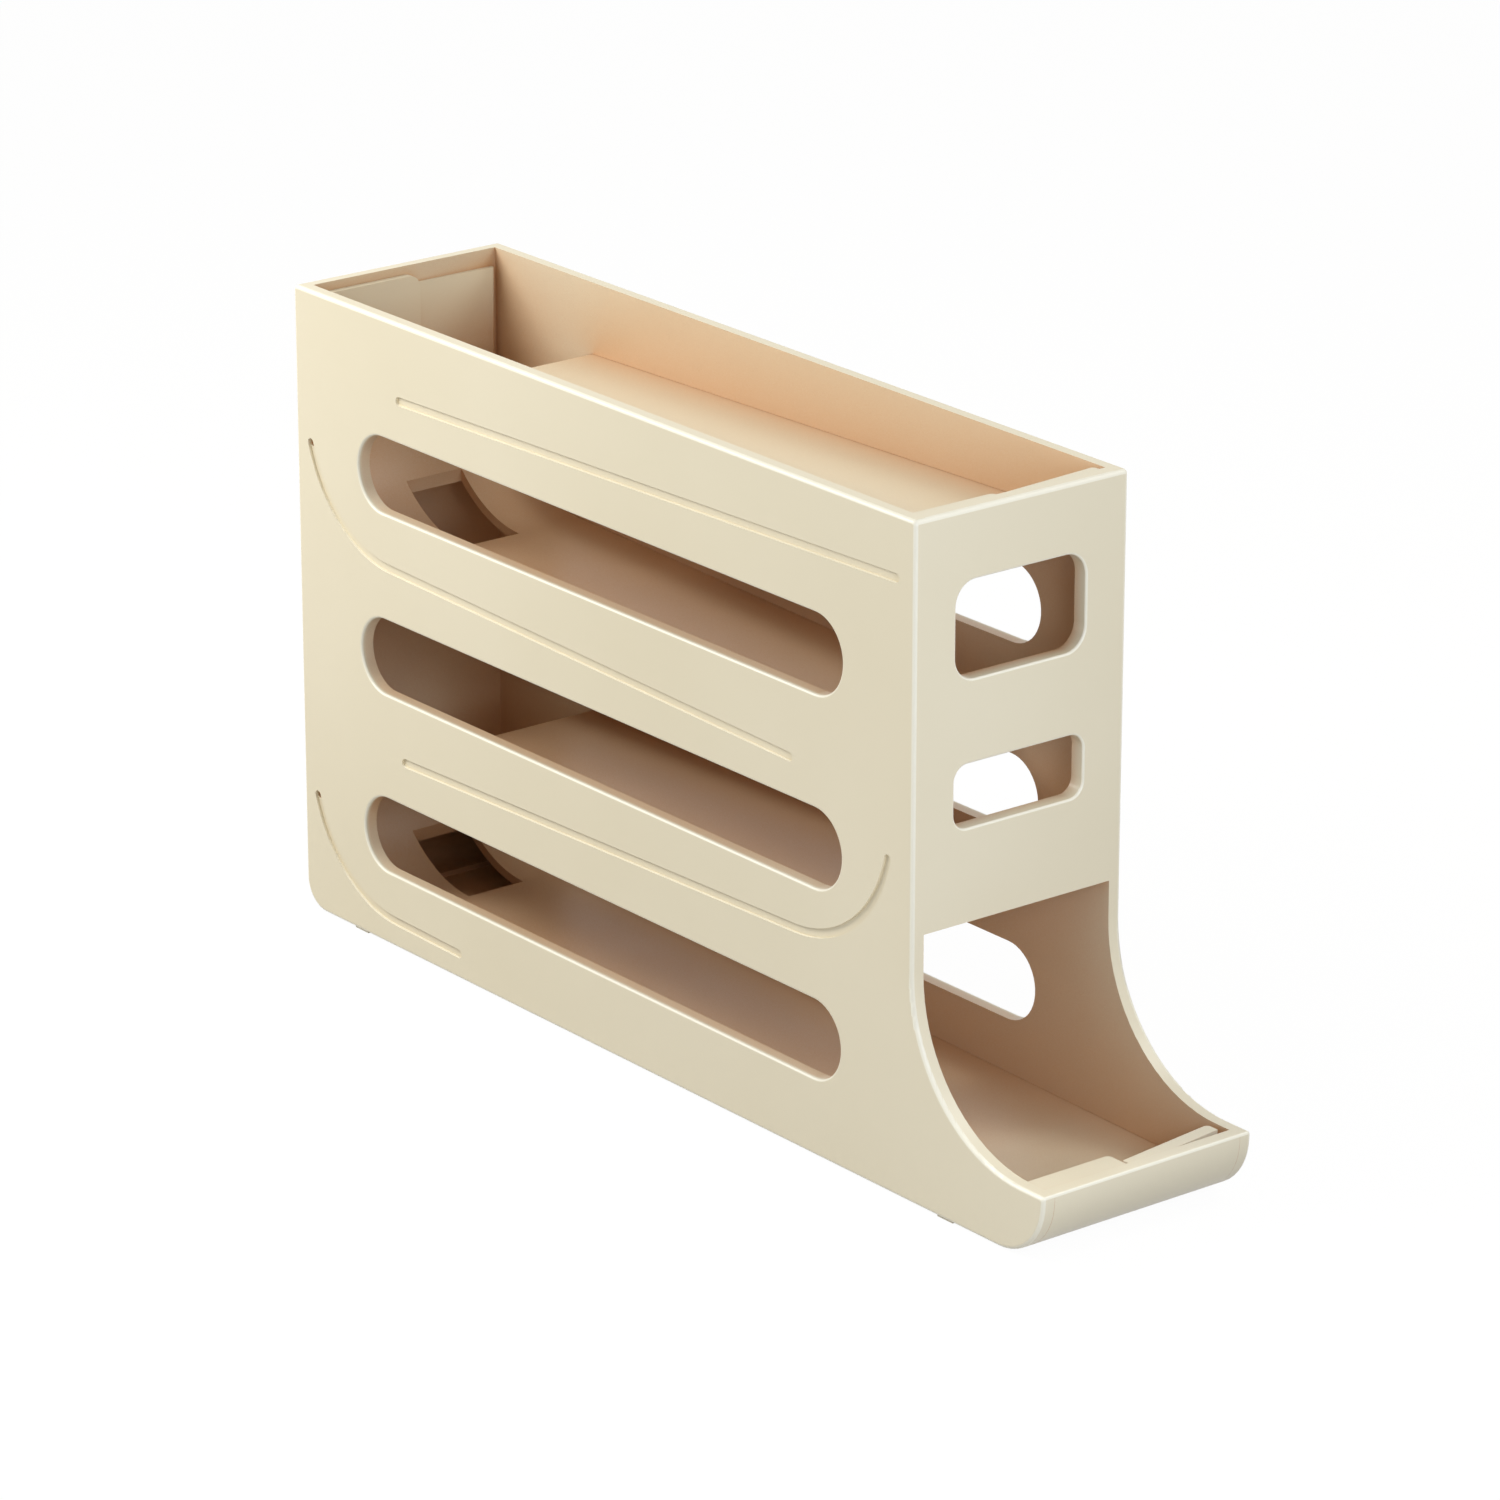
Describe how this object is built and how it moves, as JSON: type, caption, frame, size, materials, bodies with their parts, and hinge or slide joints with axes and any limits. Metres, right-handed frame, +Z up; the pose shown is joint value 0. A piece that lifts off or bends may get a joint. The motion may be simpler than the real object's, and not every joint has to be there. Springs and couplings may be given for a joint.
{
  "type": "rolling egg dispenser",
  "caption": "Narrow open-topped egg dispenser whose sloping chutes let eggs roll to and fro down to a low front lip, with slotted side windows.",
  "frame": {"origin": "bottom centre of the bounding box, on the surface that the foot pads stand on", "axes": "+X towards the front lip, +Z up, -Y towards the left side panel"},
  "size_m": [0.3724, 0.081, 0.2125],
  "materials": {
    "shell": "satin moulded",
    "chutes": "satin moulded",
    "pads": "soft matte"
  },
  "bodies": {
    "root": {"left_side_panel": "shell", "right_side_panel": "shell", "front_panel": "shell", "back_panel": "shell", "floor_panel": "shell", "front_lip": "shell", "top_chute": "chutes", "second_chute": "chutes", "third_chute": "chutes", "bottom_chute": "chutes", "foot_pad_front_left": "pads", "foot_pad_front_right": "pads", "foot_pad_back_left": "pads", "foot_pad_back_right": "pads"}
  },
  "joints": []
}
